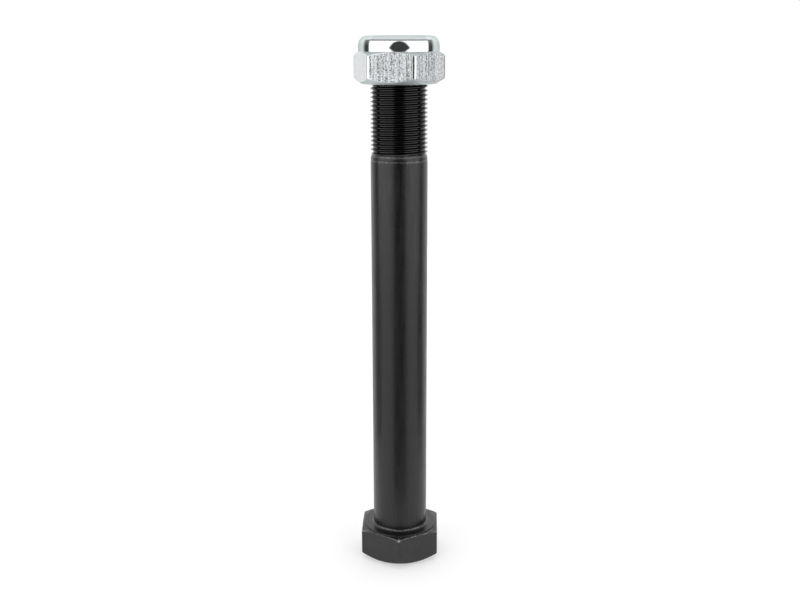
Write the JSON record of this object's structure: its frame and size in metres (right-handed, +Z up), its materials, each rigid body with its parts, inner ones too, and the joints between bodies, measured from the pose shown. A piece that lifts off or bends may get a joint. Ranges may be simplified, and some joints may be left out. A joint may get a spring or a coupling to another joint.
{
  "type": "suspension pin with lock nut",
  "caption": "Long hex-headed pin with a plain round shank and a threaded end that carries a crowned hex lock nut, for holding a suspension joint in double shear.",
  "frame": {"origin": "middle of the head's end face, on the pin's axis; the pin stands on this face", "axes": "+Z up the pin from its head to its threaded end; -Y towards a corner of the head"},
  "size_m": [0.0458, 0.0466, 0.2738],
  "materials": {
    "black_steel": "satin",
    "zinc_steel": "satin",
    "nylon": "satin"
  },
  "bodies": {
    "pin": {"pin": "black_steel"},
    "insert": {"locking_insert": "nylon"},
    "nut": {"lock_nut": "zinc_steel"}
  },
  "joints": [
    {"name": "nut_travel", "type": "slide", "parent": "pin", "child": "insert", "axis": [0, 0, 1], "range_m": [-0.032, 0.0172]},
    {"name": "nut_turn", "type": "hinge", "parent": "insert", "child": "nut", "pos_m": [0, 0, 0.2625], "axis": [0, 0, 1], "range_deg": [-5400, 2880]}
  ],
  "couplings": [
    {"joint": "nut_travel", "follows": "nut_turn", "m_per_rad": 0.00033693}
  ]
}
